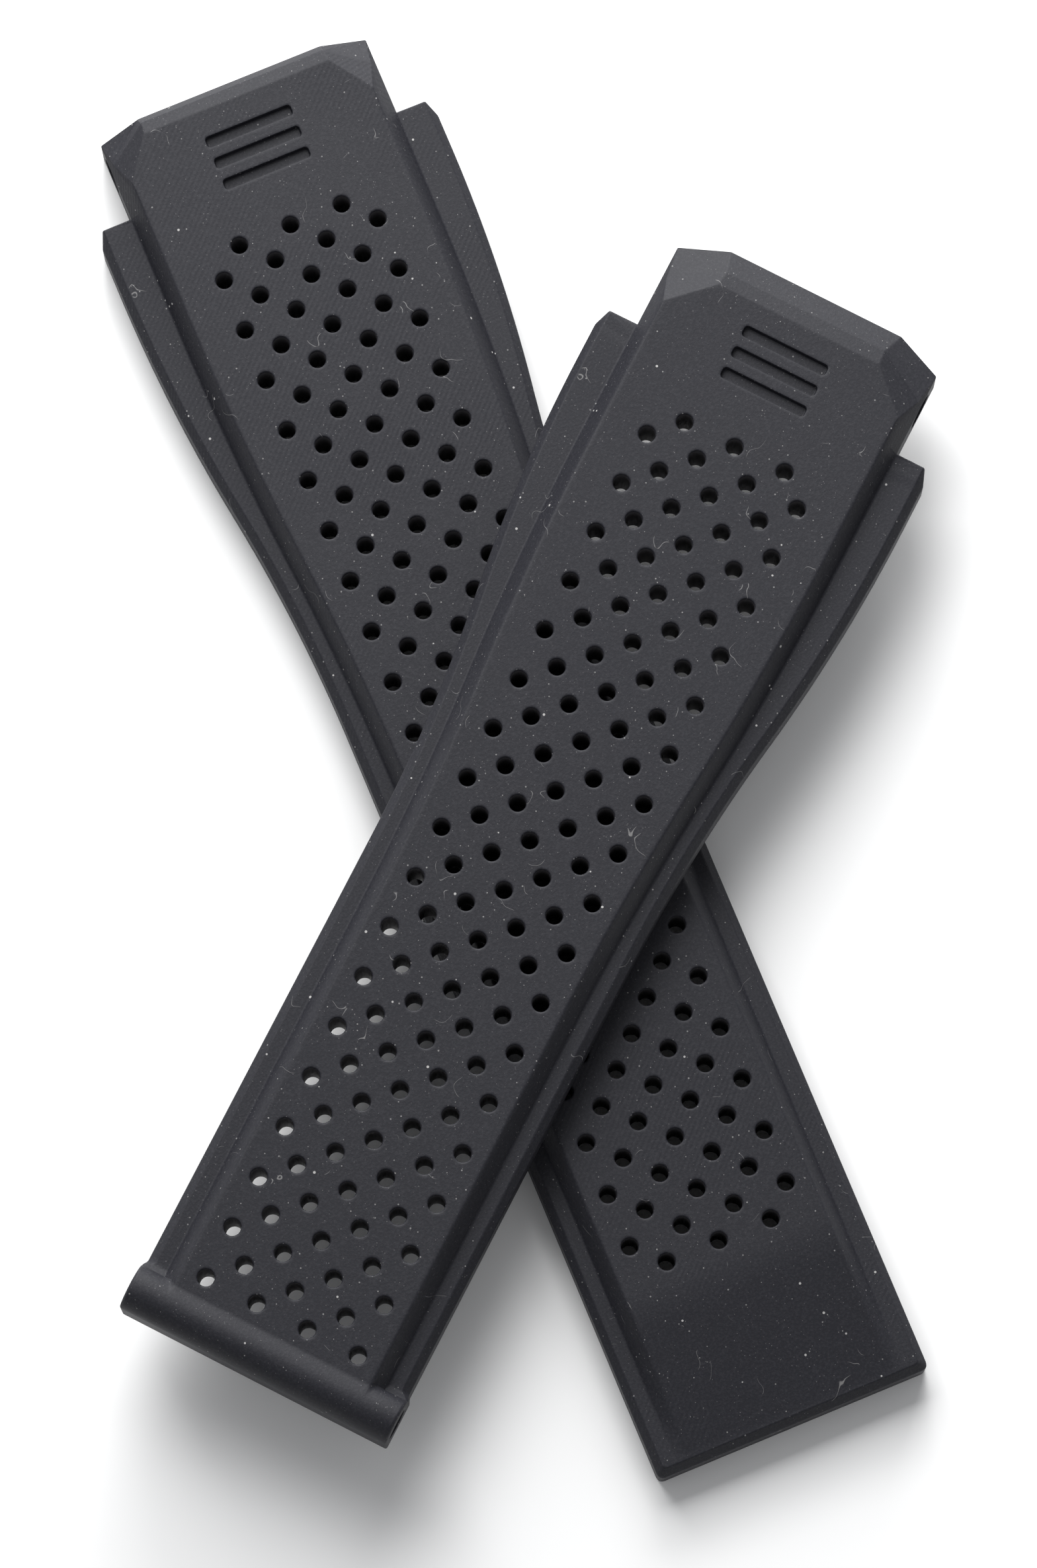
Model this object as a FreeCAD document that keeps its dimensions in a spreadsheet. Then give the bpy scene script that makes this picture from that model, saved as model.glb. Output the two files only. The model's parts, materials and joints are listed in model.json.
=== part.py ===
"""Two-piece perforated rubber watch strap, laid flat with the short piece crossed over the long one.

Each strap piece is one rubber moulding: a thick raised field with two lower flanks beside it, a
notched head with a gem-cut nose that fits between the lugs of a watch case, and steel liner tubes
moulded in for the bars.  Every strap piece is drawn from its head: +X runs from the nose to the
tail, Y runs across and +Z points out of the perforated face.  The nose of the short piece leans
out further than that of the long one.  Sizes are in millimetres.
"""
import FreeCAD, Part
import math
import os
import Sketcher

App = FreeCAD
doc = App.newDocument("WatchStrap")
sheet = doc.addObject("Spreadsheet::Sheet", "Sizes")

# ------------------------------------------------------------------ driving dimensions
SIZES = {
    # plan of both pieces
    "short_length": 76.9,
    "long_length": 94.0,
    "head_length": 6.4,
    "shoulder_half": 11.65,
    "tail_half": 9.15,
    "shoulder_cut_along": 1.1,
    "shoulder_cut_across": 0.45,
    "flank_taper_start": 10.0,
    "flank_taper_end": 43.0,
    "tail_corner": 0.9,
    # raised field, drawn at three levels: foot, brow and crown
    "foot_half": 9.2,
    "foot_nose_half": 6.2,
    "short_foot_back": -0.5,
    "long_foot_back": 0.45,
    "foot_corner_back": 1.0,
    "brow_half": 8.6,
    "brow_nose_half": 5.9,
    "brow_back": 1.05,
    "brow_corner_back": 3.0,
    "crown_half": 8.3,
    "crown_nose_half": 6.0,
    "crown_back": 2.0,
    "crown_corner_back": 4.6,
    "field_narrowing": 1.45,
    "field_taper_start": 14.0,
    "field_taper_end": 48.0,
    # levels above the underside: the field's foot is level with the flanks
    "flank_height": 3.0,
    "brow_height": 4.1,
    "field_height": 4.4,
    "flank_bevel": 0.5,
    # perforations: a square grid turned by 45 degrees
    "hole_pitch": 2.5,
    "hole_diameter": 1.25,
    "first_row": 11.0,
    "short_row_pairs": 18,
    "long_row_pairs": 20,
    # plain grooves pressed into each head
    "groove_start": 3.6,
    "groove_pitch": 1.5,
    "groove_width": 0.75,
    "groove_half": 2.95,
    "groove_depth": 0.4,
    "groove_count": 3,
    # rounded end bar of the short piece, where the clasp is hung
    "knuckle_radius": 1.5,
    "knuckle_height": 3.25,
    "knuckle_width": 18.7,
    # sloped tail of the long piece, which the clasp grips
    "ramp_length": 10.0,
    # liner tubes for the bars
    "head_tube_radius": 1.2,
    "head_tube_bore": 0.95,
    "head_tube_back": 3.0,
    "head_tube_height": 1.75,
    "head_tube_length": 18.0,
    "end_tube_radius": 1.0,
    "end_tube_bore": 0.8,
    "end_tube_height": 2.4,
    "end_tube_length": 18.3,
    # how the two pieces lie on the table
    "resting_gap": 0.1,
    "short_angle": -117.2,
    "short_nose_right": 18.93,
    "short_nose_ahead": 27.76,
    "long_angle": -67.45,
    "long_nose_right": -18.54,
    "long_nose_ahead": 43.69,
}

for row, (alias, value) in enumerate(SIZES.items(), start=1):
    sheet.set("A%d" % row, alias)
    sheet.set("B%d" % row, str(value))
    sheet.setAlias("B%d" % row, alias)
doc.recompute()


# ------------------------------------------------------------------ sketch helpers
# Places in a sketch are written as sums of size names, such as "head_length + ramp_length".
def total(text):
    """The sum in millimetres."""
    value = 0.0
    sign = 1
    for word in text.split():
        if word in "+-":
            sign = 1 if word == "+" else -1
        else:
            value += sign * SIZES[word]
    return value


def cells(text):
    """The same sum as an expression on the spreadsheet."""
    return " ".join(word if word in "+-" else "Sizes." + word for word in text.split())


def plane_of(body, role):
    """One of a body's own origin planes."""
    return [item for item in body.Origin.OriginFeatures if item.Role == role][0]


def new_sketch(body, name, role="XY_Plane", level=None):
    """A sketch on an origin plane of the body, lifted to a level where one is given."""
    sketch = body.newObject("Sketcher::SketchObject", name)
    sketch.AttachmentSupport = (plane_of(body, role), [""])
    sketch.MapMode = "FlatFace"
    if level:
        sketch.setExpression("AttachmentOffset.Base.z", cells(level))
    return sketch


def measure(sketch, kind, where, text):
    """A dimension from the sketch's origin to a point, or of a curve, tied to the spreadsheet."""
    index = sketch.addConstraint(Sketcher.Constraint(kind, *where, total(text)))
    sketch.setExpression("Constraints[%d]" % index, cells(text))


def place(sketch, geometry, end, across, along):
    """Fix a point: an empty text leaves it on the axis."""
    for kind, axis, text in (("DistanceX", -2, across), ("DistanceY", -1, along)):
        if text:
            measure(sketch, kind, (-1, 1, geometry, end), text)
        else:
            sketch.addConstraint(Sketcher.Constraint("PointOnObject", geometry, end, axis))


def line(sketch, start, end):
    """A straight edge between two points."""
    ends = [App.Vector(x, y, 0) for x, y in (start, end)]
    return sketch.addGeometry(Part.LineSegment(*ends), False)


def arc(sketch, centre, radius, first, last):
    """A round edge, counter-clockwise between two angles in radians."""
    circle = Part.Circle(App.Vector(centre[0], centre[1], 0), App.Vector(0, 0, 1), radius)
    return sketch.addGeometry(Part.ArcOfCircle(circle, first, last), False)


def join(sketch, *ends, smooth=False):
    """Make pairs of ends meet, in one straight run where they are smooth."""
    kind = "Tangent" if smooth else "Coincident"
    for one, other in zip(ends[0::2], ends[1::2]):
        sketch.addConstraint(Sketcher.Constraint(kind, *one, *other))


def taper_side(sketch, start, end, side):
    """Two equal arcs in an S, from a wide straight edge to a narrow one, on one side (1 or -1)."""
    half_run = (end[0] - start[0]) / 2
    half_drop = abs(end[1] - start[1]) / 2
    radius = (half_run ** 2 + half_drop ** 2) / (2 * half_drop)
    swing = math.asin(half_run / radius)
    upward = math.pi / 2 * side
    wide = arc(sketch, (start[0], start[1] - side * radius), radius,
               *sorted((upward, upward - side * swing)))
    narrow = arc(sketch, (end[0], end[1] + side * radius), radius,
                 *sorted((-upward, -upward - side * swing)))
    if side > 0:
        ends = (wide, 2), (wide, 1), (narrow, 1), (narrow, 2)
    else:
        ends = (wide, 1), (wide, 2), (narrow, 2), (narrow, 1)
    join(sketch, ends[1], ends[2], smooth=side > 0)
    return wide, narrow, ends[0], ends[3], ends[1]


def outline(sketch, corners, taper):
    """A closed outline about the X axis from its upper corners, nose first.

    The S-shaped taper takes the place of the straight edge that leaves corner number taper.
    """
    points = [(total(x), total(y)) for x, y in corners]
    sides = []
    for side in (1, -1):
        starts = []
        for number in range(len(points) - 1):
            start, end = [(x, side * y) for x, y in points[number:number + 2]]
            if number == taper:
                starts.append(taper_side(sketch, start, end, side))
            else:
                edge = line(sketch, start, end)
                starts.append((edge, edge, (edge, 1), (edge, 2)))
        for number in range(len(starts) - 1):
            smooth = side > 0 and taper in (number, number + 1)
            join(sketch, starts[number][3], starts[number + 1][2], smooth=smooth)
        sides.append(starts)
    upper, lower = sides
    nose = line(sketch, (points[0][0], -points[0][1]), points[0])
    tail = line(sketch, (points[-1][0], -points[-1][1]), points[-1])
    join(sketch, (nose, 1), lower[0][2], (nose, 2), upper[0][2])
    join(sketch, (tail, 1), lower[-1][3], (tail, 2), upper[-1][3])
    for number, (x, y) in enumerate(corners):
        end, mirrored = [side[number][2] if number < len(side) else side[-1][3] for side in sides]
        place(sketch, *end, x, y)
        sketch.addConstraint(Sketcher.Constraint("Symmetric", *end, *mirrored, -1))
    middles = upper[taper][4], lower[taper][4]
    sketch.addConstraint(Sketcher.Constraint("Symmetric", *middles[0], *middles[1], -1))
    wide, narrow = upper[taper][:2]
    for other in (narrow, lower[taper][0], lower[taper][1]):
        sketch.addConstraint(Sketcher.Constraint("Equal", wide, other))


def polygon(sketch, corners):
    """A closed polygon through corners given as pairs of sums."""
    points = [(total(x), total(y)) for x, y in corners]
    edges = [line(sketch, *pair) for pair in zip(points, points[1:] + points[:1])]
    for one, other in zip(edges, edges[1:] + edges[:1]):
        join(sketch, (one, 2), (other, 1))
    for edge, corner in zip(edges, corners):
        place(sketch, edge, 1, *corner)


# ------------------------------------------------------------------ feature helpers
def new_body(label, angle, right, ahead, level):
    """An empty body, laid on the table at its strap piece's nose."""
    body = doc.addObject("PartDesign::Body", label)
    body.Label = label
    body.Placement.Rotation = App.Rotation(App.Vector(0, 0, 1), SIZES[angle])
    body.setExpression("Placement.Base.x", cells(right))
    body.setExpression("Placement.Base.y", cells(ahead))
    if level:
        body.setExpression("Placement.Base.z", cells(level))
    return body


def feature(body, kind, name, sketch, **settings):
    """A PartDesign feature made from one sketch.  Text settings are sums of size names."""
    made = body.newObject("PartDesign::" + kind, name)
    made.Profile = sketch
    for key, value in settings.items():
        if isinstance(value, str) and key != "Type":
            made.setExpression(key, cells(value))
        else:
            setattr(made, key, value)
    sketch.Visibility = False
    doc.recompute()
    return made


def dress(body, kind, name, base, wanted, **settings):
    """A chamfer or fillet on the edges whose ends all pass the wanted test."""
    edges = ["Edge%d" % number for number, edge in enumerate(base.Shape.Edges, start=1)
             if all(wanted(vertex.Point) for vertex in edge.Vertexes)]
    made = body.newObject("PartDesign::" + kind, name)
    made.Base = (base, edges)
    for key, value in settings.items():
        made.setExpression(key, cells(value))
    doc.recompute()
    return made


def repeat(body, name, original, spacing, count):
    """Repeat a feature along the strap, with the pitch and count as expressions."""
    made = body.newObject("PartDesign::LinearPattern", name)
    made.Originals = [original]
    made.Direction = (plane_of(body, "X_Axis"), [""])
    made.setExpression("Occurrences", count)
    made.setExpression("Length", "(%s) * (%s - 1)" % (spacing, count))
    body.Tip = made
    doc.recompute()
    return made


def at_flank_top(point):
    """Whether a point lies level with the top of the flanks."""
    return abs(point.z - SIZES["flank_height"]) < 0.01


# ------------------------------------------------------------------ strap mouldings
def flank_corners(end):
    """Plan of the flanks, from the shoulder line to the tail."""
    shoulder = "shoulder_half - shoulder_cut_across"
    return [
        ("head_length", shoulder),
        ("head_length + shoulder_cut_along", "shoulder_half"),
        ("flank_taper_start", "shoulder_half"),
        ("flank_taper_end", "tail_half"),
        (end, "tail_half"),
    ]


def field_corners(level, back, end):
    """Plan of the head and raised field at one of its three levels."""
    half = level + "_half"
    return [
        (back, level + "_nose_half"),
        (level + "_corner_back", half),
        ("field_taper_start", half),
        ("field_taper_end", half + " - field_narrowing"),
        (end, half + " - field_narrowing"),
    ]


def add_flanks(body, end, cut_tail):
    """The two low flanks as one slab, with bevelled top edges."""
    sketch = new_sketch(body, "FlankPlan")
    corners = flank_corners(end)
    if cut_tail:
        corners[-1:] = [(end + " - tail_corner", "tail_half"), (end, "tail_half - tail_corner")]
    outline(sketch, corners, taper=2)
    slab = feature(body, "Pad", "Flanks", sketch, Length="flank_height")
    return dress(body, "Chamfer", "FlankBevel", slab, at_flank_top, Size="flank_bevel")


def add_field(body, foot_back, end):
    """The head and raised field: straight up to the flanks' level, then faceted up to the crown."""
    foot = new_sketch(body, "FootPlan", level="flank_height")
    outline(foot, field_corners("foot", foot_back, end), taper=2)
    feature(body, "Pad", "Core", foot, Length="flank_height", Reversed=True)
    plans = [foot]
    for level, height in (("brow", "brow_height"), ("crown", "field_height")):
        plan = new_sketch(body, level.capitalize() + "Plan", level=height)
        outline(plan, field_corners(level, level + "_back", end), taper=2)
        plans.append(plan)
    return feature(body, "AdditiveLoft", "Field", plans[0], Sections=plans[1:], Ruled=True)


def add_holes(body, row_pairs, last_row):
    """Through holes on the turned square grid: alternate rows of three and four."""
    step = "Sizes.hole_pitch / sqrt(2)"
    step_size = SIZES["hole_pitch"] / math.sqrt(2)

    def row_of_holes(sketch, number, columns):
        """One row of circles across the strap, counted from the first row."""
        for column in columns:
            centre = App.Vector(SIZES["first_row"] + number * step_size, column * step_size, 0)
            circle = Part.Circle(centre, App.Vector(0, 0, 1), SIZES["hole_diameter"] / 2)
            hole = sketch.addGeometry(circle, False)
            along = sketch.addConstraint(
                Sketcher.Constraint("DistanceX", -1, 1, hole, 3, centre.x))
            sketch.setExpression("Constraints[%d]" % along,
                                 "Sizes.first_row + %d * %s" % (number, step))
            if column:
                across = sketch.addConstraint(
                    Sketcher.Constraint("DistanceY", -1, 1, hole, 3, centre.y))
                sketch.setExpression("Constraints[%d]" % across, "%d * %s" % (column, step))
            else:
                sketch.addConstraint(Sketcher.Constraint("PointOnObject", hole, 3, -1))
            size = sketch.addConstraint(
                Sketcher.Constraint("Diameter", hole, SIZES["hole_diameter"]))
            sketch.setExpression("Constraints[%d]" % size, "Sizes.hole_diameter")

    pair = new_sketch(body, "HolePair")
    row_of_holes(pair, 0, (-2, 0, 2))
    row_of_holes(pair, 1, (-3, -1, 1, 3))
    cut = feature(body, "Pocket", "HolePairCut", pair, Type="ThroughAll", Midplane=True)
    repeat(body, "HoleRows", cut, "2 * " + step, "Sizes." + row_pairs)
    if last_row:
        row = new_sketch(body, "LastRow")
        row_of_holes(row, 2 * SIZES[row_pairs], (-2, 0, 2))
        feature(body, "Pocket", "LastRowCut", row, Type="ThroughAll", Midplane=True)


def add_grooves(body):
    """Short plain grooves across the head."""
    sketch = new_sketch(body, "GroovePlan", level="field_height")
    end = "groove_start + groove_width"
    polygon(sketch, [("groove_start", "groove_half"), ("groove_start", "- groove_half"),
                     (end, "- groove_half"), (end, "groove_half")])
    cut = feature(body, "Pocket", "GrooveCut", sketch, Length="groove_depth")
    repeat(body, "Grooves", cut, "Sizes.groove_pitch", "Sizes.groove_count")


def add_bore(body, name, along, height, radius):
    """A hole right across the strap for a liner tube."""
    sketch = new_sketch(body, name + "Plan", role="XZ_Plane")
    centre = App.Vector(total(along), total(height), 0)
    circle = Part.Circle(centre, App.Vector(0, 0, 1), SIZES[radius])
    round_edge = sketch.addGeometry(circle, False)
    place(sketch, round_edge, 3, along, height)
    measure(sketch, "Radius", (round_edge,), radius)
    feature(body, "Pocket", name, sketch, Type="ThroughAll", Midplane=True)


def add_knuckle(body):
    """The rounded bar across the tail of the short piece."""
    sketch = new_sketch(body, "KnucklePlan", role="XZ_Plane")
    middle = "short_length - knuckle_radius"
    front = middle + " - knuckle_radius"
    centre = total(middle), total("knuckle_height")
    top = arc(sketch, centre, SIZES["knuckle_radius"], 0, math.pi)
    back_edge = line(sketch, (total("short_length"), centre[1]), (total("short_length"), 0))
    under = line(sketch, (total("short_length"), 0), (total(front), 0))
    front_edge = line(sketch, (total(front), 0), (total(front), centre[1]))
    join(sketch, (top, 1), (back_edge, 1), (front_edge, 2), (top, 2), smooth=True)
    join(sketch, (back_edge, 2), (under, 1), (under, 2), (front_edge, 1))
    for edge in (back_edge, front_edge):
        sketch.addConstraint(Sketcher.Constraint("Vertical", edge))
    for end in (1, 2):
        sketch.addConstraint(Sketcher.Constraint("PointOnObject", under, end, -1))
    place(sketch, top, 3, middle, "knuckle_height")
    measure(sketch, "Radius", (top,), "knuckle_radius")
    feature(body, "Pad", "Knuckle", sketch, Length="knuckle_width", Midplane=True)


def add_ramp(body):
    """The field of the long piece slopes down to the flanks at its tail."""
    sketch = new_sketch(body, "RampPlan", role="XZ_Plane")
    polygon(sketch, [("long_length - ramp_length", "field_height"),
                     ("long_length", "flank_height"),
                     ("long_length", "field_height")])
    feature(body, "Pocket", "Ramp", sketch, Type="ThroughAll", Midplane=True)


long_spot = ("long_angle", "long_nose_right", "long_nose_ahead", "")
short_spot = ("short_angle", "short_nose_right", "short_nose_ahead", "field_height + resting_gap")
head_bore = ("head_tube_back", "head_tube_height", "head_tube_radius")
end_bore = ("short_length - knuckle_radius", "end_tube_height", "end_tube_radius")

long_strap = new_body("long_strap", *long_spot)
add_flanks(long_strap, "long_length", cut_tail=True)
add_field(long_strap, "long_foot_back", "long_length")
add_ramp(long_strap)
add_holes(long_strap, "long_row_pairs", last_row=True)
add_grooves(long_strap)
add_bore(long_strap, "HeadBore", *head_bore)

short_strap = new_body("short_strap", *short_spot)
add_flanks(short_strap, "short_length - knuckle_radius", cut_tail=False)
add_field(short_strap, "short_foot_back", "short_length - knuckle_radius")
add_knuckle(short_strap)
add_holes(short_strap, "short_row_pairs", last_row=False)
add_grooves(short_strap)
add_bore(short_strap, "HeadBore", *head_bore)
add_bore(short_strap, "EndBore", *end_bore)


# ------------------------------------------------------------------ liner tubes
def liner_tube(label, spot, bore, inside, length):
    """A plain steel tube across the strap."""
    body = new_body(label, *spot)
    sketch = new_sketch(body, "TubePlan", role="XZ_Plane")
    along, height, outside = bore
    centre = App.Vector(total(along), total(height), 0)
    for radius in (outside, inside):
        circle = Part.Circle(centre, App.Vector(0, 0, 1), SIZES[radius])
        round_edge = sketch.addGeometry(circle, False)
        place(sketch, round_edge, 3, along, height)
        measure(sketch, "Radius", (round_edge,), radius)
    feature(body, "Pad", "Tube", sketch, Length=length, Midplane=True)
    return body


head_tube = head_bore, "head_tube_bore", "head_tube_length"
long_tube = liner_tube("long_head_tube", long_spot, *head_tube)
short_tube = liner_tube("short_head_tube", short_spot, *head_tube)
end_tube = liner_tube("clasp_end_tube", short_spot, end_bore, "end_tube_bore", "end_tube_length")

# ------------------------------------------------------------------ check and export
doc.recompute()
for item in doc.Objects:
    if {"Invalid", "Error"} & set(item.State):
        raise RuntimeError("%s did not build: %s" % (item.Name, item.State))

os.makedirs("parts", exist_ok=True)
for body in (long_strap, short_strap, long_tube, short_tube, end_tube):
    if body.Shape.isNull() or not body.Shape.isValid():
        raise RuntimeError("%s has no valid shape" % body.Label)
    body.Shape.exportStep(os.path.join("parts", body.Label + ".step"))
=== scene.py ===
"""A two-piece perforated rubber watch strap, laid flat with the short piece crossed over the long one.

Each piece is drawn in millimetres in its own strap frame, with its nose at the origin, +X from the
nose to the tail, +Y across and +Z out of the perforated face, and is placed by its lug bore.
"""

import json
import math

import bmesh
import bpy
import numpy as np
from mathutils import Matrix, Vector
from mathutils.geometry import delaunay_2d_cdt


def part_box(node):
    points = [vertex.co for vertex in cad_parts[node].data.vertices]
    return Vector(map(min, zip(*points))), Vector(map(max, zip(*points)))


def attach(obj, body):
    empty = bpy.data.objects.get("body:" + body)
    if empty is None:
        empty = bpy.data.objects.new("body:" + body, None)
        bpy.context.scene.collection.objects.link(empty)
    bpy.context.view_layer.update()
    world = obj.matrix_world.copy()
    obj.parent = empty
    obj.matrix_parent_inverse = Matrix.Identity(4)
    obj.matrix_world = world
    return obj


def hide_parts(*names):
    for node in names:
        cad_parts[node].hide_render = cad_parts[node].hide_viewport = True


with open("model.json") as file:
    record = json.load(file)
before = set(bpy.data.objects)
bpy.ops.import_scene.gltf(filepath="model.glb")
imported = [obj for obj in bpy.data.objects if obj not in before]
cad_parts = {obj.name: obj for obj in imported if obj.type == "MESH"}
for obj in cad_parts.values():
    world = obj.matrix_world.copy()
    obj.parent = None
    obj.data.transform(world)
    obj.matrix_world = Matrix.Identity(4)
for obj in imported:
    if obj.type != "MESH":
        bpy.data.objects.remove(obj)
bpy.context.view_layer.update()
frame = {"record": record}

# ------------------------------------------------------------------ camera
# A long lens half a metre above the table, tipped ten degrees from straight down, so that both
# pieces fill a tall frame.
MM = 0.001
LENS = 182.2
SENSOR = 36.0
CAMERA_TILT = math.radians(9.95)
CAMERA_DISTANCE = 505.9 * MM
AIMED_AT = Vector((0.266, -2.031, 0)) * MM

lens = bpy.data.cameras.new("camera")
lens.sensor_width = SENSOR
lens.lens = LENS
lens.clip_start = 0.01
lens.clip_end = 20
camera = bpy.data.objects.new("camera", lens)
towards_camera = Vector((0, -math.sin(CAMERA_TILT), math.cos(CAMERA_TILT)))
camera.location = AIMED_AT + CAMERA_DISTANCE * towards_camera
camera.rotation_euler = (CAMERA_TILT, 0, 0)
bpy.context.scene.collection.objects.link(camera)
bpy.context.scene.camera = camera
bpy.context.scene.view_settings.view_transform = "Standard"


# ------------------------------------------------------------------ floor and studio light
# A white table top, a pale surround, one soft light close behind the heads and a little to the
# left, so that the light falls off towards the tails, and a low one that catches the facets.
class Value:
    """A shader socket that takes part in sums."""

    def __init__(self, finish, socket):
        self.finish = finish
        self.socket = socket

    def sum_with(self, operation, *others, flipped=False):
        operands = [self, *others]
        if flipped:
            operands.reverse()
        return self.finish.node("ShaderNodeMath", {"operation": operation}, dict(enumerate(operands)))

    def __add__(self, other):
        return self.sum_with("ADD", other)

    def __sub__(self, other):
        return self.sum_with("SUBTRACT", other)

    def __rsub__(self, other):
        return self.sum_with("SUBTRACT", other, flipped=True)

    def __mul__(self, other):
        return self.sum_with("MULTIPLY", other)

    def __abs__(self):
        return self.sum_with("ABSOLUTE")

    __radd__ = __add__
    __rmul__ = __mul__


class Finish:
    """A material and its nodes."""

    def __init__(self, name):
        self.material = bpy.data.materials.new(name)
        self.material.use_nodes = True
        self.tree = self.material.node_tree
        self.tree.nodes.clear()

    def node(self, kind, settings=None, sockets=None, output=0):
        """Any node: its settings first, then the values or links of its sockets."""
        made = self.tree.nodes.new(kind)
        for key, value in (settings or {}).items():
            if key == "stops":
                for stop, (place, colour) in zip(made.color_ramp.elements, value):
                    stop.position = place
                    stop.color = (*colour, 1)
            else:
                setattr(made, key, value)
        for key, value in (sockets or {}).items():
            if isinstance(value, Value):
                self.tree.links.new(value.socket, made.inputs[key])
            else:
                made.inputs[key].default_value = value
        return Value(self, made.outputs[output])

    def ramp(self, value, low, high):
        """0 below low, 1 above high, and smooth between."""
        return self.node("ShaderNodeMapRange", {"interpolation_type": "SMOOTHSTEP"},
                         {"Value": value, "From Min": low, "From Max": high})

    def mix(self, share, first, second):
        """From the first colour to the second."""
        return self.node("ShaderNodeMix", {"data_type": "RGBA"},
                         {"Factor": share, 6: first, 7: second}, output=2)

    def place(self):
        """Where a point is in its piece's own frame, in millimetres."""
        inside = self.node("ShaderNodeTexCoord", output=3)
        return self.node("ShaderNodeVectorMath", {"operation": "SCALE"}, {0: inside, "Scale": 1 / MM})

    def noise(self, place, scale, detail=2.0, roughness=0.5):
        """Soft noise from 0 to 1, with scale in lumps per millimetre."""
        return self.node("ShaderNodeTexNoise", {}, {"Vector": place, "Scale": scale, "Detail": detail,
                                                    "Roughness": roughness})

    def done(self, **sockets):
        """The surface itself, from the shader's own sockets."""
        names = {key.replace("_", " ").title(): value for key, value in sockets.items()}
        names = {key.replace("Ior", "IOR"): value for key, value in names.items()}
        surface = self.node("ShaderNodeBsdfPrincipled", {}, names)
        outcome = self.tree.nodes.new("ShaderNodeOutputMaterial")
        self.tree.links.new(surface.socket, outcome.inputs["Surface"])
        return self.material


def table_top():
    """Satin white laminate."""
    finish = Finish("white_table")
    place = finish.place()
    cloud = finish.noise(place, 0.02, detail=3)
    return finish.done(base_color=finish.mix(cloud, (0.95, 0.95, 0.95, 1), (0.97, 0.97, 0.965, 1)),
                       roughness=0.55 + 0.1 * cloud, specular_ior_level=0.3)


TABLE_HALF = 3.0
TABLE_DROP = 0.02 * MM
floor_mesh = bpy.data.meshes.new("floor")
floor_mesh.from_pydata([(x * TABLE_HALF, y * TABLE_HALF, -TABLE_DROP)
                        for x, y in ((-1, -1), (1, -1), (1, 1), (-1, 1))], [], [(0, 1, 2, 3)])
floor_mesh.materials.append(table_top())
floor = bpy.data.objects.new("floor", floor_mesh)
bpy.context.scene.collection.objects.link(floor)

surround = bpy.data.worlds.new("surround")
surround.use_nodes = True
glow = surround.node_tree.nodes["Background"]
glow.inputs["Color"].default_value = (0.97, 0.98, 1.0, 1)
glow.inputs["Strength"].default_value = 0.36
bpy.context.scene.world = surround


def softbox(name, place, size, watts):
    """A square area light that faces the middle of the table."""
    light = bpy.data.lights.new(name, "AREA")
    light.size = size
    light.energy = watts
    held = bpy.data.objects.new(name, light)
    held.location = place
    held.rotation_euler = (-Vector(place)).to_track_quat("-Z", "Y").to_euler()
    bpy.context.scene.collection.objects.link(held)


softbox("window", (-0.07, 0.22, 0.24), 0.24, 1.3)
softbox("low_window", (0.05, 0.6, 0.2), 0.35, 3.6)


# ------------------------------------------------------------------ long strap
# The longer half of the strap: one compression moulding of black rubber, with a thick perforated
# field, two low flanks, a gem-cut notched head, and a plain tail that slopes down for the clasp.
HEAD_END = 6.4
FLANK_LEVEL = 3.0
BROW_LEVEL = 4.1
CROWN_LEVEL = 4.4
FOOT_HALF, BROW_HALF, CROWN_HALF = 9.2, 8.53, 8.3
FIELD_TAPER = 14.0, 48.0, 1.45  # where it starts and ends, and how far each side comes in
FLANK_TAPER = 10.0, 43.0, 2.5
SHOULDER = 11.65
SHOULDER_CUT = 1.1, 0.45  # along and across
FLANK_BEVEL = 0.5
FRONT_BEVEL = 0.06
FACET_EDGE = 0.09
CROWN_EDGE = 0.14
FOOT_FILLET = 0.12
UNDER_EDGE = 0.1
HOLE_PITCH = 2.5
HOLE_RADIUS = 0.54
HOLE_RIM = 0.11
HOLE_SIDES = 40
FIRST_ROW = 11.0
ROW_STEP = HOLE_PITCH / math.sqrt(2)
LUG_BORE = 3.0, 1.75, 1.2  # how far back, how high, and its radius
FOOT_AT = 9  # the foot's place in a column of the head or of the field
SIDE_TOP_AT = 7  # where the bevel meets the side in a flank's column
LONG_LENGTH = 94.0
LONG_ROWS = 41
RAMP_RUN = 10.0
RAMP_BLEND = 1.2
LIP = 0.7
TAIL_CORNER, TAIL_BEVEL_CORNER = 0.5, 0.3
LONG_NOSE = {  # the corners of each edge, from the middle of the nose to the shoulder
    "inner": ((2.05, 0, 4.4), (2.05, 6.25, 4.4), (4.7, 8.1, 4.4), (5.0, 8.1, 4.4)),
    "crown": ((1.85, 0, 4.4), (1.85, 6.4, 4.4), (4.6, 8.34, 4.4), (5.0, 8.3, 4.4)),
    "brow": ((1.05, 0, 4.1), (1.05, 6.3, 4.1), (2.9, 8.93, 3.42), (4.7, 8.53, 4.1)),
    "foot": ((0.45, 0, 3.0), (0.45, 6.3, 3.0), (1.2, 9.2, 3.0), (4.7, 9.2, 3.0)),
}


def s_taper(x, start, end, drop):
    """How far a side has come in at x: two equal arcs in an S."""
    x = min(max(x, start), end)
    run = (end - start) / 2
    radius = (run ** 2 + (drop / 2) ** 2) / drop
    if x < start + run:
        return radius - math.sqrt(radius ** 2 - (x - start) ** 2)
    return drop - radius + math.sqrt(radius ** 2 - (end - x) ** 2)


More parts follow.
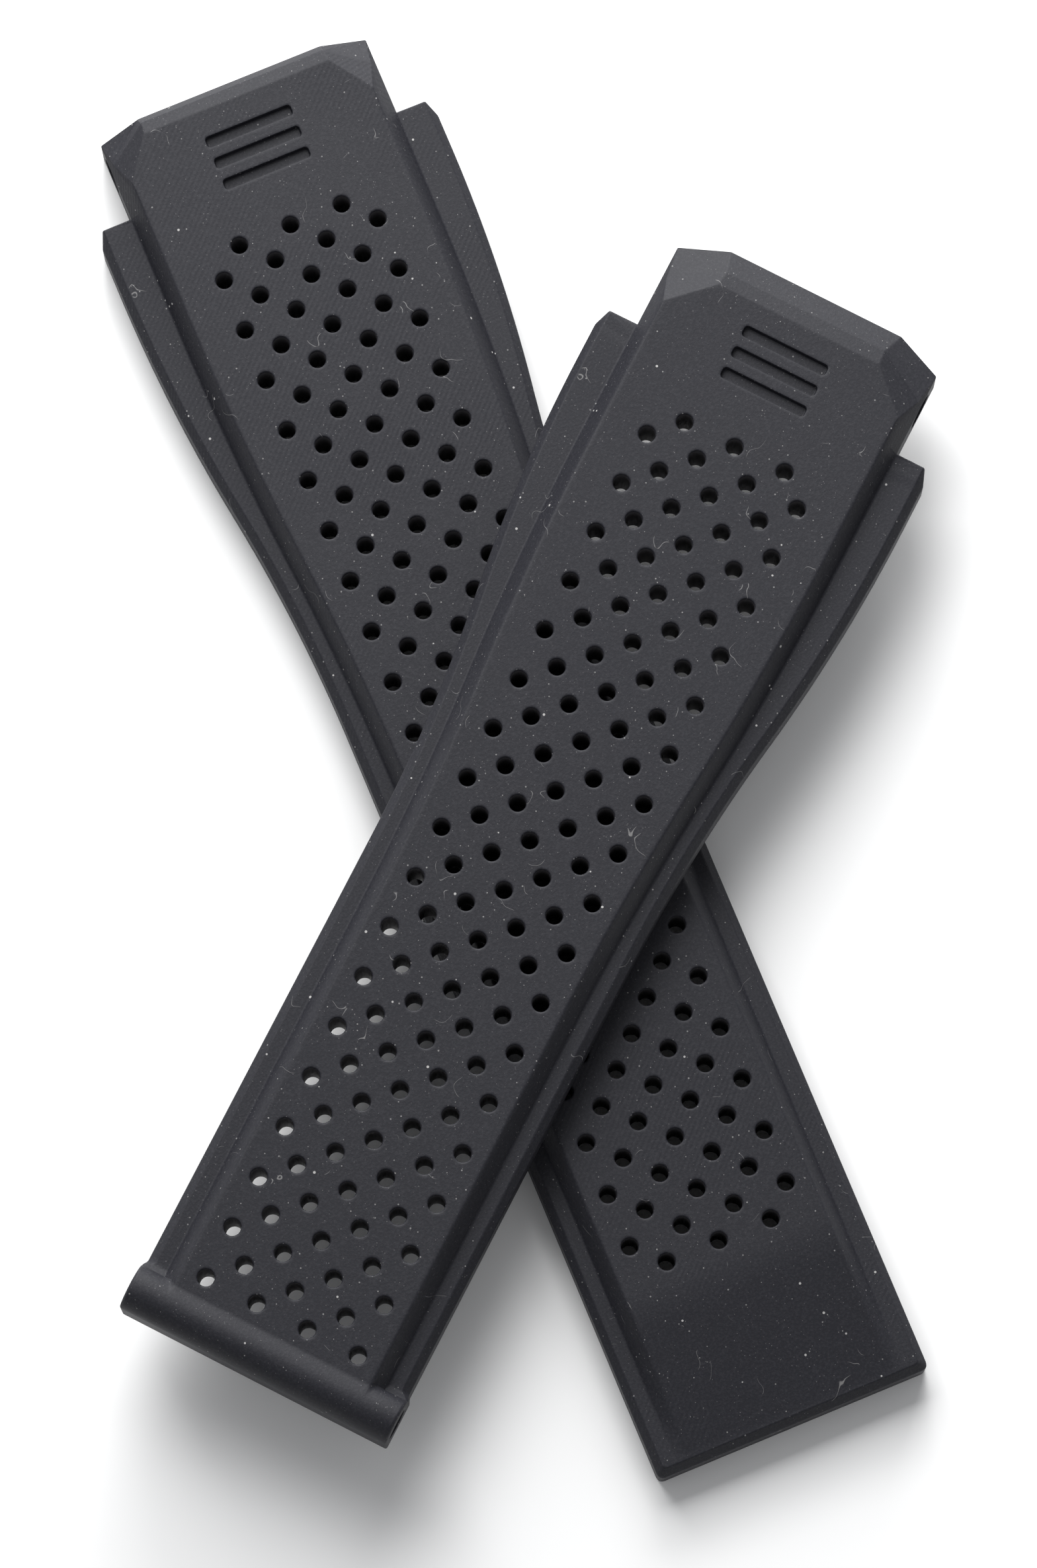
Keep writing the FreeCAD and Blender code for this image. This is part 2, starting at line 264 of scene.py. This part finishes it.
def soften(points, setbacks, steps=3):
    """Replace the inner corners of a line of points by small curves."""
    soft = [points[0]]
    for before, corner, after, setback in zip(points, points[1:], points[2:], setbacks):
        back, ahead = before - corner, after - corner
        reach = min(setback, 0.49 * back.length, 0.49 * ahead.length)
        if not setback:
            soft.append(corner)
            continue
        start, end = corner + back.normalized() * reach, corner + ahead.normalized() * reach
        for step in range(steps + 1):
            share = step / steps
            soft.append(start.lerp(corner, share).lerp(corner.lerp(end, share), share))
    return soft + [points[-1]]


def inset(points, depth):
    """A line of plan points moved to its right-hand side."""
    rights = [Vector((b.y - a.y, a.x - b.x)).normalized() for a, b in zip(points, points[1:])]
    moved = []
    for point, one, other in zip(points, [rights[0], *rights], [*rights, rights[-1]]):
        moved.append(point + (one + other) * depth / (1 + one.dot(other)))
    return moved


def at(point, level):
    """A plan point at a level."""
    return Vector((point[0], point[1], level))


class Moulding:
    """The faces of one rubber moulding, in millimetres in its strap frame."""

    def __init__(self):
        self.faces = bmesh.new()

    def face(self, *points):
        """A face, with corners that lie together taken as one."""
        kept = [p for p, q in zip(points, [points[-1], *points]) if (p - q).length > 1e-4]
        if len(kept) > 2:
            self.faces.faces.new([self.faces.verts.new(point) for point in kept])

    def both_sides(self, *points):
        """A face and its mirror image about the middle of the strap."""
        self.face(*points)
        self.face(*[Vector((p.x, -p.y, p.z)) for p in reversed(points)])

    def span(self, near, far):
        """The face right across the strap between two points and their mirror images."""
        self.face(near, far, Vector((far.x, -far.y, far.z)), Vector((near.x, -near.y, near.z)))

    def strip(self, first, second):
        """The faces between two lines of points, on both sides of the strap."""
        for corners in zip(first, first[1:], second[1:], second):
            self.both_sides(*corners)

    def flat(self, lines, level):
        """The level area inside the outermost closed line and outside the others."""
        points, edges = [], []
        for line in lines:
            edges += [(len(points) + i, len(points) + i + 1) for i in range(len(line) - 1)]
            points += [Vector((p[0], p[1])) for p in line]
        places, _, corners, _, _, _ = delaunay_2d_cdt(points, edges, [], 1, 1e-5)
        middles = np.array([sum((places[i] for i in three), Vector((0, 0))) / 3 for three in corners])
        inside = np.zeros(len(middles), bool)
        for one, other in edges:
            (x, y), (next_x, next_y) = points[one], points[other]
            if y != next_y:
                crossed = (y > middles[:, 1]) != (next_y > middles[:, 1])
                crossing = x + (middles[:, 1] - y) * (next_x - x) / (next_y - y)
                inside ^= crossed & (middles[:, 0] < crossing)
        for three, kept in zip(corners, inside):
            if kept:
                self.face(*[at(places[i], level) for i in three])

    def finished(self, name, placed, finish):
        """The closed moulding as an object in its strap frame, with every seam welded."""
        bmesh.ops.remove_doubles(self.faces, verts=self.faces.verts, dist=0.0015)
        bmesh.ops.recalc_face_normals(self.faces, faces=self.faces.faces)
        bmesh.ops.scale(self.faces, vec=(MM, MM, MM), verts=self.faces.verts)
        mesh = bpy.data.meshes.new(name)
        self.faces.to_mesh(mesh)
        self.faces.free()
        mesh.materials.append(finish)
        made = bpy.data.objects.new(name, mesh)
        made.matrix_world = placed
        bpy.context.scene.collection.objects.link(made)
        return made


def mirrored_loop(line):
    """A closed line from one side of the strap, nose first, and its mirror image."""
    points = [Vector((p[0], p[1])) for p in line]
    other = [Vector((p.x, -p.y)) for p in reversed(points)]
    return [*points, *other, points[0]]


def add_perforations(moulding, rows):
    """Through holes with soft rims, in rows of three and four. Returns their mouths."""
    rim = [(HOLE_RADIUS + HOLE_RIM * (1 - math.sin(a)), HOLE_RIM * (1 - math.cos(a)))
           for a in (0, math.pi / 6, math.pi / 3, math.pi / 2)]
    rim.insert(0, (HOLE_RADIUS + 2 * HOLE_RIM, 0))
    levels = [(radius, CROWN_LEVEL - drop) for radius, drop in rim]
    levels += [(radius, drop) for radius, drop in reversed(rim)]
    turns = [2 * math.pi * side / HOLE_SIDES for side in range(HOLE_SIDES)]
    ways = [Vector((math.cos(turn), math.sin(turn))) for turn in turns + turns[:1]]
    mouths = []
    for row in range(rows):
        for column in ((-2, 0, 2) if row % 2 == 0 else (-3, -1, 1, 3)):
            middle = Vector((FIRST_ROW + row * ROW_STEP, column * ROW_STEP))
            rings = [[at(middle + way * radius, level) for way in ways] for radius, level in levels]
            for ring, lower in zip(rings, rings[1:]):
                for corners in zip(ring, ring[1:], lower[1:], lower):
                    moulding.face(*corners)
            mouths.append(rings[0])
    return mouths


def add_grooves(moulding):
    """Three short plain grooves across the head. Returns their mouths."""
    count, start, pitch, width, half, depth, corner = 3, 3.6, 1.5, 0.75, 2.95, 0.4, 0.25
    rings = [(-0.2, 0), (-0.07, 0), (-0.02, 0.02), (0, 0.07),
             (0.03, depth - 0.1), (0.06, depth - 0.03), (0.13, depth)]
    mouths = []
    for number in range(count):
        middle = start + number * pitch + width / 2
        loops = []
        for shrink, drop in rings:
            loop = []
            for quarter in range(4):
                side_x = 1 if quarter in (0, 3) else -1
                side_y = 1 if quarter in (0, 1) else -1
                centre = Vector((middle + side_x * (width / 2 - corner), side_y * (half - corner)))
                for step in range(5):
                    turn = (quarter + step / 4) * math.pi / 2
                    loop.append(at(centre + Vector((math.cos(turn), math.sin(turn))) * (corner - shrink),
                                   CROWN_LEVEL - drop))
            loops.append([*loop, loop[0]])
        for loop, lower in zip(loops, loops[1:]):
            for corners in zip(loop, loop[1:], lower[1:], lower):
                moulding.face(*corners)
        moulding.face(*loops[-1][:-1])
        mouths.append(loops[0])
    return mouths


def add_head(moulding, nose):
    """The gem-cut nose and cheeks. Returns the edge of the crown and the plan of the foot."""
    ends = {"inner": (CROWN_HALF - 2 * CROWN_EDGE, CROWN_LEVEL), "crown": (CROWN_HALF, CROWN_LEVEL),
            "brow": (BROW_HALF, BROW_LEVEL), "foot": (FOOT_HALF, FLANK_LEVEL)}
    lines = {}
    for edge, corners in nose.items():
        points = [Vector(corner) for corner in corners] + [Vector((HEAD_END, *ends[edge]))]
        lines[edge] = soften(points, [FACET_EDGE, FACET_EDGE, 0])
    outers, inners = shoulder_line()
    front_top = flank_column(outers[0], inners[0], FLANK_LEVEL)[SIDE_TOP_AT].z
    columns = [soften([inner, crown, brow, foot, at(foot, front_top), at(foot, UNDER_EDGE)],
                      [FACET_EDGE, FACET_EDGE, 0, 0])
               for inner, crown, brow, foot in zip(*[lines[edge] for edge in ends])]
    for first, second in zip(columns, columns[1:]):
        moulding.strip(first, second)
    return columns, lines["foot"]


def field_column(x, raised):
    """One side of the field at x, from the crown down to where its fillet meets the flank."""
    narrowed = s_taper(x, *FIELD_TAPER)
    line = [(CROWN_HALF - 2 * CROWN_EDGE, CROWN_LEVEL), (CROWN_HALF, CROWN_LEVEL),
            (BROW_HALF, BROW_LEVEL), (FOOT_HALF, FLANK_LEVEL), (FOOT_HALF + 1, FLANK_LEVEL)]
    points = [Vector((x, y - narrowed, FLANK_LEVEL + (level - FLANK_LEVEL) * raised))
              for y, level in line]
    return soften(points, [CROWN_EDGE, CROWN_EDGE, FOOT_FILLET])[:-1]


def flank_column(outer, inner, top):
    """One flank's softened bevel and side at one place, down to the under edge."""
    bevel = outer - inner
    line = [at(inner - bevel.normalized(), top), at(inner, top), at(outer, top - bevel.length),
            at(outer, UNDER_EDGE)]
    return soften(line, [FACET_EDGE, FACET_EDGE])[1:]


def shoulder_line():
    """Plan of the shoulder's outside and of its bevel's inside, from the head to the straight side.

    The side's bevel runs on to the front edge, and the corner is cut through it.
    """
    along, across = SHOULDER_CUT
    straight = HEAD_END + along + 0.7
    outside = ((HEAD_END, FOOT_HALF), (HEAD_END, SHOULDER - across), (HEAD_END + along, SHOULDER),
               (straight, SHOULDER))
    front, side = HEAD_END + FRONT_BEVEL, SHOULDER - FLANK_BEVEL
    inside = (front, FOOT_HALF), (front, side - 0.02), (HEAD_END + along, side), (straight, side)
    return [soften([Vector(point) for point in line], [0.1, 0.1]) for line in (outside, inside)]


def add_body(moulding, head_columns, stations, raised_at):
    """The field's sides and the flanks along the strap. Returns the columns of both."""
    outers, inners = shoulder_line()
    sides = [Vector((x, SHOULDER - s_taper(x, *FLANK_TAPER))) for x in [outers[-1].x, *stations]]
    outers += sides[1:]
    inners += inset(sides, FLANK_BEVEL)[1:]
    flanks = [flank_column(outer, inner, FLANK_LEVEL) for outer, inner in zip(outers, inners)]
    first_x, last_x = flanks[0][0].x, sides[0].x
    count = len(outers) - len(stations)
    xs = [first_x + (last_x - first_x) * i / (count - 1) for i in range(count)] + stations
    fields = [field_column(x, raised_at(x)) for x in xs]
    fields[0][FOOT_AT:] = [flanks[0][0]] * len(fields[0][FOOT_AT:])
    shoulder = head_columns[-1]
    moulding.strip(shoulder[:FOOT_AT + 1], fields[0][:FOOT_AT + 1])
    front = flanks[0][:SIDE_TOP_AT + 1]
    for first, second in zip(front, front[1:]):
        moulding.both_sides(shoulder[FOOT_AT], first, second)
    for first, second in zip(fields, fields[1:]):
        moulding.strip(first, second)
    for first, second in zip(flanks, flanks[1:]):
        moulding.strip(first, second)
    for field, next_field, flank, next_flank in zip(fields, fields[1:], flanks, flanks[1:]):
        moulding.both_sides(field[-1], next_field[-1], next_flank[0], flank[0])
    return fields, flanks


def add_underside(moulding, foot_plan, flank_plan, mouths):
    """The flat back of the moulding, with a soft edge all round."""
    outline = [Vector((p[0], p[1])) for p in [*foot_plan, *flank_plan[1:]]]
    lower = inset(outline, UNDER_EDGE)
    rims = []
    for outer, inner in zip(outline, lower):
        side, corner, under = at(outer, UNDER_EDGE), at(outer, 0), at(inner, 0)
        rims.append([side.lerp(corner, share).lerp(corner.lerp(under, share), share)
                     for share in (0, 1 / 3, 2 / 3, 1)])
    for first, second in zip(rims, rims[1:]):
        moulding.strip(first, second)
    moulding.flat([mirrored_loop([rim[-1] for rim in rims]), *mouths], 0)


def long_ramp(x):
    """How much of the field's rise above the flanks is left at x on the long piece's tail."""
    start, end = LONG_LENGTH - RAMP_RUN, LONG_LENGTH - LIP
    if x < start - RAMP_BLEND:
        return 1.0
    run = end - start
    if x < start + RAMP_BLEND:
        return 1 - (x - start + RAMP_BLEND) ** 2 / (4 * RAMP_BLEND * run)
    return max(1 - (x - start) / run, 0)


def add_sloped_tail(moulding, fields, flanks, first_sloped):
    """The plain tail: its slope, its level lip and its rounded corners. Returns the end columns."""
    for field, next_field in zip(fields[first_sloped:], fields[first_sloped + 1:]):
        moulding.span(field[0], next_field[0])
    lip = [field_column(x, long_ramp(x)) for x in (LONG_LENGTH - LIP - 0.3, LONG_LENGTH - LIP)]
    rows = [fields[-1], *lip]
    for field, next_field in zip(rows, rows[1:]):
        moulding.strip(field, next_field)
        moulding.span(field[0], next_field[0])
    half = SHOULDER - FLANK_TAPER[2]
    corners = [Vector(p) for p in ((LONG_LENGTH - 2, half), (LONG_LENGTH, half), (LONG_LENGTH, 0))]
    outers = soften(corners, [TAIL_CORNER], steps=7)[1:]
    inners = soften(inset(corners, FLANK_BEVEL), [TAIL_BEVEL_CORNER], steps=7)[1:]
    ends = [flank_column(outer, inner, FLANK_LEVEL) for outer, inner in zip(outers, inners)]
    for first, second in zip([flanks[-1], *ends], ends):
        moulding.strip(first, second)
    lip_edge = [fields[-1][-1], lip[0][-1], *reversed(lip[1])]
    outside = [flanks[-1][0], *[column[0] for column in ends]]
    moulding.flat([mirrored_loop([*reversed(lip_edge), *outside])], FLANK_LEVEL)
    return ends


def black_rubber(name, last_row, mould_lines):
    """Matte black rubber: fine grain, faint clouding, dust specks, lint, and painted light on the walls
    of the holes.
    """
    finish = Finish(name)
    place = finish.place()
    grain = finish.noise(place, 6.0, detail=3, roughness=0.65)
    cloud = finish.noise(place, 0.12, detail=4)

    def specks(scale, size, share):
        """White specks of dust: one in each of some cells, each of its own size."""
        far = finish.node("ShaderNodeTexVoronoi", {}, {"Vector": place, "Scale": scale})
        cell = finish.node("ShaderNodeTexVoronoi", {}, {"Vector": place, "Scale": scale}, output=1)
        chance = finish.node("ShaderNodeTexWhiteNoise", {}, {"Vector": cell})
        reach = finish.ramp(chance, 1 - share, 1) * size * scale
        return finish.ramp(reach - far, 0, 0.25 * size * scale)

    dust = specks(0.9, 0.10, 0.6) * 0.75 + specks(2.3, 0.06, 0.7) * 0.35
    dust = dust + specks(4.5, 0.035, 0.9) * 0.2
    strand = finish.noise(place, 0.5, detail=1)
    strands_here = finish.ramp(finish.noise(place, 0.45, detail=0), 0.71, 0.74)
    lint = (1 - finish.ramp(abs(strand - 0.5), 0.001, 0.004)) * strands_here
    rubber = finish.mix(cloud, (0.0062, 0.0064, 0.0108, 1), (0.0084, 0.0086, 0.0138, 1))
    rubber = finish.mix(finish.ramp(grain, 0.42, 0.72) * 0.7, rubber, (0.021, 0.021, 0.027, 1))
    along, across, up = [finish.node("ShaderNodeSeparateXYZ", {}, {"Vector": place}, output=axis)
                         for axis in range(3)]
    # Painted light: inside the perforated band the hole walls are painted a lighter grey, standing in for
    # light that falls into the holes.
    painted_hole_light = finish.ramp(CROWN_LEVEL - up, 0.06, 0.3) * finish.ramp(up, 0.02, 0.2)
    band_half, band_start = 6.4, FIRST_ROW - 1.0
    band_end = FIRST_ROW + last_row * ROW_STEP + 0.9
    painted_hole_light = painted_hole_light * finish.ramp(band_half - abs(across), 0, 0.1)
    painted_hole_light = painted_hole_light * finish.ramp(along, band_start, band_start + 0.1)
    painted_hole_light = painted_hole_light * finish.ramp(band_end - along, 0, 0.1)
    rubber = finish.mix(painted_hole_light, rubber, (0.085, 0.082, 0.088, 1))
    colour = finish.mix(dust + lint * 0.3, rubber, (0.5, 0.49, 0.48, 1))
    height = grain
    if mould_lines:
        wave = finish.node("ShaderNodeTexWave", {"wave_type": "BANDS", "bands_direction": "DIAGONAL"},
                           {"Vector": place, "Scale": 1.4, "Distortion": 0.6, "Detail": 1.0,
                            "Detail Scale": 0.4})
        height = grain + wave * 0.35 * finish.ramp(cloud, 0.42, 0.6)
    bump = finish.node("ShaderNodeBump", {}, {"Strength": 0.75, "Distance": 0.022 * MM, "Height": height})
    return finish.done(base_color=colour, roughness=0.58 + 0.1 * cloud, normal=bump,
                       specular_ior_level=0.4)


def bore_named(name):
    """The record of one bore."""
    return next(mount for mount in frame["record"]["mounts"] if mount["name"] == name)


def lay_out(bore_name, back, level):
    """A strap frame from one of its bores, which runs across it."""
    bore = bore_named(bore_name)
    across = Vector(bore["axis"])
    along = Vector((across.y, -across.x, 0))
    turned = Matrix((along, across, (0, 0, 1))).transposed().to_4x4()
    return Matrix.Translation(bore["pos_m"]) @ turned @ Matrix.Translation((-back * MM, 0, -level * MM))


def open_bores(strap, *bores):
    """Cut the bores for the liner tubes right across a moulding, then set its shading."""
    clearance, past_both_sides = 0.004, 26
    cutters = []
    for back, level, radius in bores:
        cutter_faces = bmesh.new()
        radius += clearance
        bmesh.ops.create_cone(cutter_faces, cap_ends=True, segments=64, radius1=radius * MM,
                              radius2=radius * MM, depth=past_both_sides * MM,
                              matrix=Matrix.Translation((back * MM, 0, level * MM))
                              @ Matrix.Rotation(math.pi / 2, 4, "X"))
        mesh = bpy.data.meshes.new("bore_cutter")
        cutter_faces.to_mesh(mesh)
        cutter_faces.free()
        cutter = bpy.data.objects.new("bore_cutter", mesh)
        cutter.matrix_world = strap.matrix_world
        bpy.context.scene.collection.objects.link(cutter)
        cut = strap.modifiers.new("bore", "BOOLEAN")
        cut.operation = "DIFFERENCE"
        cut.solver = "EXACT"
        cut.object = cutter
        cutters.append(cutter)
    bpy.context.view_layer.update()
    drilled = bpy.data.meshes.new_from_object(strap.evaluated_get(bpy.context.evaluated_depsgraph_get()))
    strap.modifiers.clear()
    strap.data = drilled
    for cutter in cutters:
        bpy.data.objects.remove(cutter)
    drilled.polygons.foreach_set("use_smooth", [True] * len(drilled.polygons))
    drilled.set_sharp_from_angle(angle=math.radians(38))
    weighted = strap.modifiers.new("even_flats", "WEIGHTED_NORMAL")
    weighted.keep_sharp = True
    weighted.weight = 100


def long_strap_moulding():
    """The long half of the strap in its strap frame."""
    moulding = Moulding()
    head_columns, foot_plan = add_head(moulding, LONG_NOSE)
    flat_end = LONG_LENGTH - RAMP_RUN - RAMP_BLEND
    stations = [9.3, 9.6, *range(10, 83), *[flat_end + 0.4 * i for i in range(7)],
                *range(86, 92), 91.6, LONG_LENGTH - 2]
    stations = [float(x) for x in stations]
    fields, flanks = add_body(moulding, head_columns, stations, long_ramp)
    first_sloped = next(i for i, field in enumerate(fields) if field[0].x >= flat_end - 0.001)
    ends = add_sloped_tail(moulding, fields, flanks, first_sloped)
    mouths = add_perforations(moulding, LONG_ROWS)
    crown = [column[0] for column in [*head_columns, *fields[:first_sloped + 1]]]
    moulding.flat([mirrored_loop(crown), *mouths, *add_grooves(moulding)], CROWN_LEVEL)
    add_underside(moulding, foot_plan, [column[-1] for column in [*flanks, *ends]], mouths)
    return moulding


long_strap = long_strap_moulding().finished(
    "long_strap_moulding", lay_out("long_lug_bore", *LUG_BORE[:2]),
    black_rubber("long_strap_rubber", LONG_ROWS - 1, True))
open_bores(long_strap, LUG_BORE)
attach(long_strap, "long_piece")
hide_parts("long_strap")

# ------------------------------------------------------------------ short strap
# The shorter half, moulded in the same way, with a round bar across its tail in place of the
# slope: the clasp hangs from the bar, which is a little wider and higher than the strap.
SHORT_LENGTH = 76.9
SHORT_ROWS = 36
BAR_RADIUS = 1.5
BAR_LEVEL = 3.25
BAR_HALF = 9.3
BAR_EDGE = 0.14
BAR_RISE = 0.5
BAR_SWELL = 0.45
BAR_FILLET = 0.35
CLASP_BORE = SHORT_LENGTH - BAR_RADIUS, 2.4, 1.0
SHORT_NOSE = {
    "inner": ((2.25, 0, 4.4), (2.25, 5.55, 4.4), (4.7, 8.1, 4.4), (5.0, 8.1, 4.4)),
    "crown": ((2.05, 0, 4.4), (2.05, 5.7, 4.4), (4.6, 8.34, 4.4), (5.0, 8.3, 4.4)),
    "brow": ((1.05, 0, 4.1), (1.05, 5.6, 4.1), (2.9, 8.93, 3.42), (4.7, 8.53, 4.1)),
    "foot": ((-0.5, 0, 3.0), (-0.5, 6.05, 3.0), (0.8, 9.2, 3.0), (4.7, 9.2, 3.0)),
}


def bar_level(x):
    """The top of the round bar at x."""
    off = x - (SHORT_LENGTH - BAR_RADIUS)
    return BAR_LEVEL + math.sqrt(max(BAR_RADIUS ** 2 - off ** 2, 0))


def over_bar(point):
    """Lift a point of the strap's top to the bar, with a small concave fillet before it."""
    front = SHORT_LENGTH - 2 * BAR_RADIUS
    if point.x < front:
        rise = max((point.x - front + BAR_RISE) / BAR_RISE, 0) ** 2.5
        return Vector((point.x, point.y, max(point.z, FLANK_LEVEL + BAR_FILLET * rise)))
    bar = bar_level(point.x)
    if point.x > SHORT_LENGTH - BAR_RADIUS:
        return Vector((point.x, point.y, bar))
    near = max(BAR_FILLET - abs(point.z - bar), 0) / BAR_FILLET
    return Vector((point.x, point.y, max(point.z, bar) + near ** 2 * BAR_FILLET / 4))


def add_bar(moulding, fields, flanks):
    """The bar across the tail, its rounded ends and its upright back.

    Returns its side columns and the edge of the level crown in front of it.
    """
    front, narrow = SHORT_LENGTH - 2 * BAR_RADIUS, SHOULDER - FLANK_TAPER[2]
    level_xs = [front - before for before in (BAR_RISE, 0.35, 0.2, 0.08)]
    xs = level_xs + [front + BAR_RADIUS * (1 - math.cos(math.radians(turn)))
                     for turn in range(0, 181, 6)]
    rows, sides = [fields[-1]], [flanks[-1]]
    for x in xs:
        rows.append([over_bar(point) for point in field_column(x, 1.0)])
        swell = min(max((x - front + BAR_RISE) / BAR_SWELL, 0), 1)
        swell = swell * swell * (3 - 2 * swell)
        inner = narrow - FLANK_BEVEL + (BAR_HALF - BAR_EDGE - narrow + FLANK_BEVEL) * swell
        bevel = FLANK_BEVEL + (BAR_EDGE - FLANK_BEVEL) * swell
        past = max(x - (SHORT_LENGTH - BAR_EDGE), 0)
        if past:
            bevel = math.sqrt(max(BAR_EDGE ** 2 - past ** 2, 0))
        top = over_bar(Vector((x, inner, FLANK_LEVEL))).z
        sides.append(flank_column(Vector((x, inner + bevel + 1e-5)), Vector((x, inner)), top))
    for row, next_row, side, next_side in zip(rows, rows[1:], sides, sides[1:]):
        moulding.strip(row, next_row)
        moulding.strip(side, next_side)
        moulding.both_sides(row[-1], next_row[-1], next_side[0], side[0])
    across = [row[0] for row in rows]
    for near, far in zip(across[len(level_xs):], across[len(level_xs) + 1:]):
        moulding.span(near, far)
    middle = Vector((SHORT_LENGTH, 0, UNDER_EDGE))
    half_back = [*rows[-1], *sides[-1], middle]
    other = [Vector((p.x, -p.y, p.z)) for p in reversed(half_back[:-1])]
    moulding.face(*half_back, *other)
    return [*sides[1:], [middle]], across[1:len(level_xs) + 1]


def short_strap_moulding():
    """The short half of the strap in its strap frame."""
    moulding = Moulding()
    head_columns, foot_plan = add_head(moulding, SHORT_NOSE)
    stations = [9.3, 9.6, *[float(x) for x in range(10, 74)]]
    fields, flanks = add_body(moulding, head_columns, stations, lambda x: 1.0)
    ends, level_edge = add_bar(moulding, fields, flanks)
    mouths = add_perforations(moulding, SHORT_ROWS)
    crown = [column[0] for column in [*head_columns, *fields]]
    moulding.flat([mirrored_loop(crown + level_edge), *mouths, *add_grooves(moulding)], CROWN_LEVEL)
    add_underside(moulding, foot_plan, [column[-1] for column in [*flanks, *ends]], mouths)
    return moulding


short_strap = short_strap_moulding().finished(
    "short_strap_moulding", lay_out("short_lug_bore", *LUG_BORE[:2]),
    black_rubber("short_strap_rubber", SHORT_ROWS - 1, False))
open_bores(short_strap, LUG_BORE, CLASP_BORE)
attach(short_strap, "short_piece")
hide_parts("short_strap")


# ------------------------------------------------------------------ liner tubes
# Plain lengths of drawn stainless tube, moulded into the rubber for the spring bars and for the
# clasp's bar to turn in.  Their ends are deburred and stand just inside the rubber.
def drawn_steel():
    """Stainless steel with fine lines along the tube."""
    finish = Finish("drawn_steel")
    place = finish.place()
    stretched = finish.node("ShaderNodeVectorMath", {"operation": "MULTIPLY"},
                            {0: place, 1: (1, 0.06, 1)})
    lines = finish.noise(stretched, 9.0, detail=3)
    stain = finish.noise(place, 0.6, detail=2)
    bump = finish.node("ShaderNodeBump", {}, {"Strength": 0.3, "Distance": 0.01 * MM, "Height": lines})
    return finish.done(base_color=finish.mix(stain, (0.52, 0.51, 0.49, 1), (0.66, 0.65, 0.63, 1)),
                       metallic=1.0, roughness=0.28 + 0.16 * lines, normal=bump)


def liner_tube(name, bore_name, node, body, finish):
    """One tube with rounded lips, lathed about its bore."""
    bore = bore_named(bore_name)
    half = bore["dims"]["length_mm"] / 2
    low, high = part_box(node)
    inside, outside, lip, sides = bore["dims"]["r_mm"], (high[2] - low[2]) / 2 / MM, 0.05, 64
    wall = [(outside, -half + lip), (outside, half - lip), (outside - lip, half),
            (inside + lip, half), (inside, half - lip), (inside, -half + lip),
            (inside + lip, -half), (outside - lip, -half)]
    points = [Vector((radius * math.cos(2 * math.pi * side / sides), along,
                      radius * math.sin(2 * math.pi * side / sides))) * MM
              for side in range(sides) for radius, along in wall]
    count = len(wall)
    faces = [(side * count + i, side * count + (i + 1) % count,
              (side + 1) % sides * count + (i + 1) % count, (side + 1) % sides * count + i)
             for side in range(sides) for i in range(count)]
    mesh = bpy.data.meshes.new(name)
    mesh.from_pydata(points, [], faces)
    mesh.polygons.foreach_set("use_smooth", [True] * len(mesh.polygons))
    mesh.set_sharp_from_angle(angle=math.radians(50))
    mesh.materials.append(finish)
    tube = bpy.data.objects.new(name, mesh)
    tube.matrix_world = lay_out(bore_name, 0, 0)
    bpy.context.scene.collection.objects.link(tube)
    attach(tube, body)
    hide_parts(node)


steel = drawn_steel()
liner_tube("long_head_liner", "long_lug_bore", "long_head_tube", "long_piece", steel)
liner_tube("short_head_liner", "short_lug_bore", "short_head_tube", "short_piece", steel)
liner_tube("clasp_end_liner", "clasp_bore", "clasp_end_tube", "short_piece", steel)
